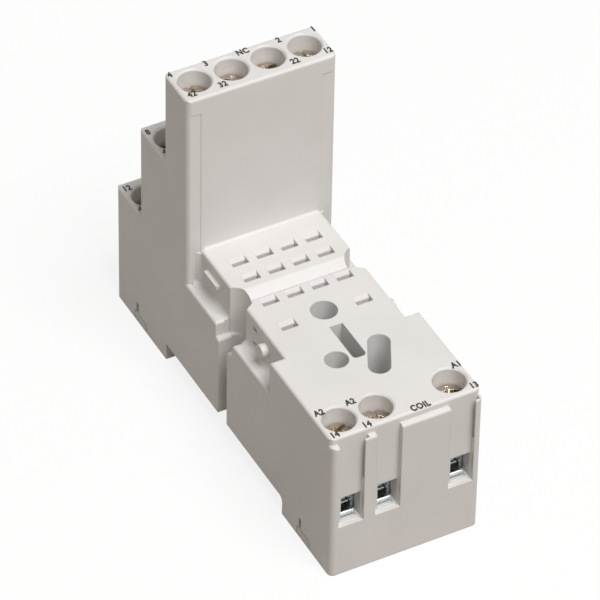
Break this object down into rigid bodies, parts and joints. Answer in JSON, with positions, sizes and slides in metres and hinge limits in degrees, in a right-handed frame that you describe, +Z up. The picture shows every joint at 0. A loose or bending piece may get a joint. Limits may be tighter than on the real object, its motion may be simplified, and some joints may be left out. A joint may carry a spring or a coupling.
{
  "type": "relay socket",
  "caption": "Rail-mount relay socket with a three-tier terminal tower, a flat seat of pin slots, and a coil terminal block, with rising-cage screw clamps.",
  "frame": {"origin": "under the middle of the socket, level with the undersides of its feet", "axes": "+X across the socket to its right seen from the coil face, +Y from the coil face to the lowest terminal tier, +Z up from the rail"},
  "size_m": [0.027, 0.076, 0.061],
  "materials": {
    "moulding": "fine matt moulded surface",
    "cover": "fine matt moulded surface",
    "latch": "fine matt moulded surface",
    "screw_metal": "nickel-plated, slightly warm",
    "clamp_metal": "bright zinc plate",
    "contact_metal": "rolled copper alloy"
  },
  "bodies": {
    "socket": {"housing": "moulding", "base_cover": "cover", "contact_42": "contact_metal", "contact_32": "contact_metal", "contact_22": "contact_metal", "contact_12": "contact_metal", "contact_44": "contact_metal", "contact_34": "contact_metal", "contact_24": "contact_metal", "contact_14": "contact_metal", "contact_41": "contact_metal", "contact_31": "contact_metal", "contact_21": "contact_metal", "contact_11": "contact_metal", "contact_a1": "contact_metal", "contact_a2": "contact_metal"},
    "latch": {"rail_latch": "latch"},
    "screw_body_42": {"screw_42": "screw_metal"},
    "clamp_body_42": {"clamp_42": "clamp_metal"},
    "screw_body_32": {"screw_32": "screw_metal"},
    "clamp_body_32": {"clamp_32": "clamp_metal"},
    "screw_body_22": {"screw_22": "screw_metal"},
    "clamp_body_22": {"clamp_22": "clamp_metal"},
    "screw_body_12": {"screw_12": "screw_metal"},
    "clamp_body_12": {"clamp_12": "clamp_metal"},
    "screw_body_44": {"screw_44": "screw_metal"},
    "clamp_body_44": {"clamp_44": "clamp_metal"},
    "screw_body_34": {"screw_34": "screw_metal"},
    "clamp_body_34": {"clamp_34": "clamp_metal"},
    "screw_body_24": {"screw_24": "screw_metal"},
    "clamp_body_24": {"clamp_24": "clamp_metal"},
    "screw_body_14": {"screw_14": "screw_metal"},
    "clamp_body_14": {"clamp_14": "clamp_metal"},
    "screw_body_41": {"screw_41": "screw_metal"},
    "clamp_body_41": {"clamp_41": "clamp_metal"},
    "screw_body_31": {"screw_31": "screw_metal"},
    "clamp_body_31": {"clamp_31": "clamp_metal"},
    "screw_body_21": {"screw_21": "screw_metal"},
    "clamp_body_21": {"clamp_21": "clamp_metal"},
    "screw_body_11": {"screw_11": "screw_metal"},
    "clamp_body_11": {"clamp_11": "clamp_metal"},
    "screw_body_a2_left": {"screw_a2_left": "screw_metal"},
    "clamp_body_a2_left": {"clamp_a2_left": "clamp_metal"},
    "screw_body_a2_right": {"screw_a2_right": "screw_metal"},
    "clamp_body_a2_right": {"clamp_a2_right": "clamp_metal"},
    "screw_body_a1": {"screw_a1": "screw_metal"},
    "clamp_body_a1": {"clamp_a1": "clamp_metal"}
  },
  "joints": [
    {"name": "latch_slide", "type": "slide", "parent": "socket", "child": "latch", "axis": [0, 1, 0], "range_m": [0, 0.003], "stiffness_N_per_m": 600},
    {"name": "screw_turn_42", "type": "hinge", "parent": "socket", "child": "screw_body_42", "pos_m": [-0.0099, 0.01675, 0.056], "axis": [0, 0, -1], "range_deg": [0, 2162]},
    {"name": "clamp_rise_42", "type": "slide", "parent": "socket", "child": "clamp_body_42", "axis": [0, 0, 1], "range_m": [0, 0.003]},
    {"name": "screw_turn_32", "type": "hinge", "parent": "socket", "child": "screw_body_32", "pos_m": [-0.0033, 0.01675, 0.056], "axis": [0, 0, -1], "range_deg": [0, 2162]},
    {"name": "clamp_rise_32", "type": "slide", "parent": "socket", "child": "clamp_body_32", "axis": [0, 0, 1], "range_m": [0, 0.003]},
    {"name": "screw_turn_22", "type": "hinge", "parent": "socket", "child": "screw_body_22", "pos_m": [0.0033, 0.01675, 0.056], "axis": [0, 0, -1], "range_deg": [0, 2162]},
    {"name": "clamp_rise_22", "type": "slide", "parent": "socket", "child": "clamp_body_22", "axis": [0, 0, 1], "range_m": [0, 0.003]},
    {"name": "screw_turn_12", "type": "hinge", "parent": "socket", "child": "screw_body_12", "pos_m": [0.0099, 0.01675, 0.056], "axis": [0, 0, -1], "range_deg": [0, 2162]},
    {"name": "clamp_rise_12", "type": "slide", "parent": "socket", "child": "clamp_body_12", "axis": [0, 0, 1], "range_m": [0, 0.003]},
    {"name": "screw_turn_44", "type": "hinge", "parent": "socket", "child": "screw_body_44", "pos_m": [-0.0099, 0.025, 0.038], "axis": [0, 0, -1], "range_deg": [0, 2162]},
    {"name": "clamp_rise_44", "type": "slide", "parent": "socket", "child": "clamp_body_44", "axis": [0, 0, 1], "range_m": [0, 0.003]},
    {"name": "screw_turn_34", "type": "hinge", "parent": "socket", "child": "screw_body_34", "pos_m": [-0.0033, 0.025, 0.038], "axis": [0, 0, -1], "range_deg": [0, 2162]},
    {"name": "clamp_rise_34", "type": "slide", "parent": "socket", "child": "clamp_body_34", "axis": [0, 0, 1], "range_m": [0, 0.003]},
    {"name": "screw_turn_24", "type": "hinge", "parent": "socket", "child": "screw_body_24", "pos_m": [0.0033, 0.025, 0.038], "axis": [0, 0, -1], "range_deg": [0, 2162]},
    {"name": "clamp_rise_24", "type": "slide", "parent": "socket", "child": "clamp_body_24", "axis": [0, 0, 1], "range_m": [0, 0.003]},
    {"name": "screw_turn_14", "type": "hinge", "parent": "socket", "child": "screw_body_14", "pos_m": [0.0099, 0.025, 0.038], "axis": [0, 0, -1], "range_deg": [0, 2162]},
    {"name": "clamp_rise_14", "type": "slide", "parent": "socket", "child": "clamp_body_14", "axis": [0, 0, 1], "range_m": [0, 0.003]},
    {"name": "screw_turn_41", "type": "hinge", "parent": "socket", "child": "screw_body_41", "pos_m": [-0.0099, 0.0334, 0.0192], "axis": [0, 0, -1], "range_deg": [0, 2162]},
    {"name": "clamp_rise_41", "type": "slide", "parent": "socket", "child": "clamp_body_41", "axis": [0, 0, 1], "range_m": [0, 0.003]},
    {"name": "screw_turn_31", "type": "hinge", "parent": "socket", "child": "screw_body_31", "pos_m": [-0.0033, 0.0334, 0.0192], "axis": [0, 0, -1], "range_deg": [0, 2162]},
    {"name": "clamp_rise_31", "type": "slide", "parent": "socket", "child": "clamp_body_31", "axis": [0, 0, 1], "range_m": [0, 0.003]},
    {"name": "screw_turn_21", "type": "hinge", "parent": "socket", "child": "screw_body_21", "pos_m": [0.0033, 0.0334, 0.0192], "axis": [0, 0, -1], "range_deg": [0, 2162]},
    {"name": "clamp_rise_21", "type": "slide", "parent": "socket", "child": "clamp_body_21", "axis": [0, 0, 1], "range_m": [0, 0.003]},
    {"name": "screw_turn_11", "type": "hinge", "parent": "socket", "child": "screw_body_11", "pos_m": [0.0099, 0.0334, 0.0192], "axis": [0, 0, -1], "range_deg": [0, 2162]},
    {"name": "clamp_rise_11", "type": "slide", "parent": "socket", "child": "clamp_body_11", "axis": [0, 0, 1], "range_m": [0, 0.003]},
    {"name": "screw_turn_a2_left", "type": "hinge", "parent": "socket", "child": "screw_body_a2_left", "pos_m": [-0.0099, -0.0332, 0.0241], "axis": [0, 0, -1], "range_deg": [0, 2162]},
    {"name": "clamp_rise_a2_left", "type": "slide", "parent": "socket", "child": "clamp_body_a2_left", "axis": [0, 0, 1], "range_m": [0, 0.003]},
    {"name": "screw_turn_a2_right", "type": "hinge", "parent": "socket", "child": "screw_body_a2_right", "pos_m": [-0.0033, -0.0332, 0.0241], "axis": [0, 0, -1], "range_deg": [0, 2162]},
    {"name": "clamp_rise_a2_right", "type": "slide", "parent": "socket", "child": "clamp_body_a2_right", "axis": [0, 0, 1], "range_m": [0, 0.003]},
    {"name": "screw_turn_a1", "type": "hinge", "parent": "socket", "child": "screw_body_a1", "pos_m": [0.0099, -0.0332, 0.0241], "axis": [0, 0, -1], "range_deg": [0, 2162]},
    {"name": "clamp_rise_a1", "type": "slide", "parent": "socket", "child": "clamp_body_a1", "axis": [0, 0, 1], "range_m": [0, 0.003]}
  ],
  "couplings": [
    {"joint": "screw_turn_42", "follows": "clamp_rise_42", "rad_per_m": 12566},
    {"joint": "screw_turn_32", "follows": "clamp_rise_32", "rad_per_m": 12566},
    {"joint": "screw_turn_22", "follows": "clamp_rise_22", "rad_per_m": 12566},
    {"joint": "screw_turn_12", "follows": "clamp_rise_12", "rad_per_m": 12566},
    {"joint": "screw_turn_44", "follows": "clamp_rise_44", "rad_per_m": 12566},
    {"joint": "screw_turn_34", "follows": "clamp_rise_34", "rad_per_m": 12566},
    {"joint": "screw_turn_24", "follows": "clamp_rise_24", "rad_per_m": 12566},
    {"joint": "screw_turn_14", "follows": "clamp_rise_14", "rad_per_m": 12566},
    {"joint": "screw_turn_41", "follows": "clamp_rise_41", "rad_per_m": 12566},
    {"joint": "screw_turn_31", "follows": "clamp_rise_31", "rad_per_m": 12566},
    {"joint": "screw_turn_21", "follows": "clamp_rise_21", "rad_per_m": 12566},
    {"joint": "screw_turn_11", "follows": "clamp_rise_11", "rad_per_m": 12566},
    {"joint": "screw_turn_a2_left", "follows": "clamp_rise_a2_left", "rad_per_m": 12566},
    {"joint": "screw_turn_a2_right", "follows": "clamp_rise_a2_right", "rad_per_m": 12566},
    {"joint": "screw_turn_a1", "follows": "clamp_rise_a1", "rad_per_m": 12566}
  ]
}
